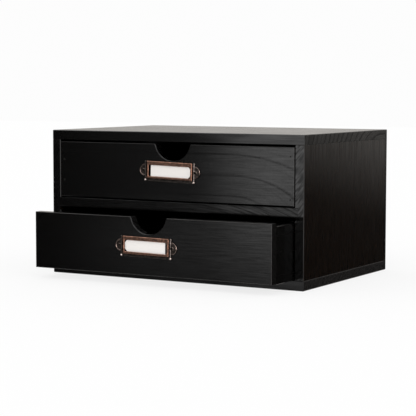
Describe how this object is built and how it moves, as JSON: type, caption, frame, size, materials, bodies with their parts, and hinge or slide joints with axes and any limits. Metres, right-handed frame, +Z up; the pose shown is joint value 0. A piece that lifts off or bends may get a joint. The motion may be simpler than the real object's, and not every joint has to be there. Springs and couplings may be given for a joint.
{
  "type": "desktop file drawer",
  "caption": "Low wooden desktop cabinet with stacked pull-out drawers, half-round finger notches and stamped label holders, for letter or A4 paper and stationery.",
  "frame": {"origin": "middle of the cabinet's underside, on the surface it stands on", "axes": "+X to the right as seen from the front, +Y to the back, +Z up; the drawers open towards -Y"},
  "size_m": [0.36, 0.3014, 0.184],
  "materials": {
    "black_lacquered_wood": "semi-gloss black lacquer, wood grain showing through",
    "antique_copper": "stamped steel sheet, antique copper plated, worn bright on the edges",
    "screw_steel": "darkened round-head screws",
    "label_paper": "plain white card",
    "steel_brads": "bare steel wire"
  },
  "bodies": {
    "cabinet": {"top_panel": "black_lacquered_wood", "bottom_panel": "black_lacquered_wood", "left_side_panel": "black_lacquered_wood", "right_side_panel": "black_lacquered_wood", "divider_shelf": "black_lacquered_wood", "back_panel": "black_lacquered_wood", "carcass_brads": "steel_brads", "back_panel_pins": "steel_brads"},
    "upper_drawer": {"upper_drawer_front": "black_lacquered_wood", "upper_drawer_left_side": "black_lacquered_wood", "upper_drawer_right_side": "black_lacquered_wood", "upper_drawer_back": "black_lacquered_wood", "upper_drawer_bottom": "black_lacquered_wood", "upper_drawer_brads": "steel_brads", "upper_drawer_bottom_pins": "steel_brads", "upper_label_holder": "antique_copper", "upper_label_screws": "screw_steel", "upper_label_card": "label_paper"},
    "lower_drawer": {"lower_drawer_front": "black_lacquered_wood", "lower_drawer_left_side": "black_lacquered_wood", "lower_drawer_right_side": "black_lacquered_wood", "lower_drawer_back": "black_lacquered_wood", "lower_drawer_bottom": "black_lacquered_wood", "lower_drawer_brads": "steel_brads", "lower_drawer_bottom_pins": "steel_brads", "lower_label_holder": "antique_copper", "lower_label_screws": "screw_steel", "lower_label_card": "label_paper"}
  },
  "joints": [
    {"name": "upper_drawer_slide", "type": "slide", "parent": "cabinet", "child": "upper_drawer", "axis": [0, -1, 0], "range_m": [0, 0.185]},
    {"name": "lower_drawer_slide", "type": "slide", "parent": "cabinet", "child": "lower_drawer", "axis": [0, -1, 0], "range_m": [-0.056, 0.129]}
  ]
}
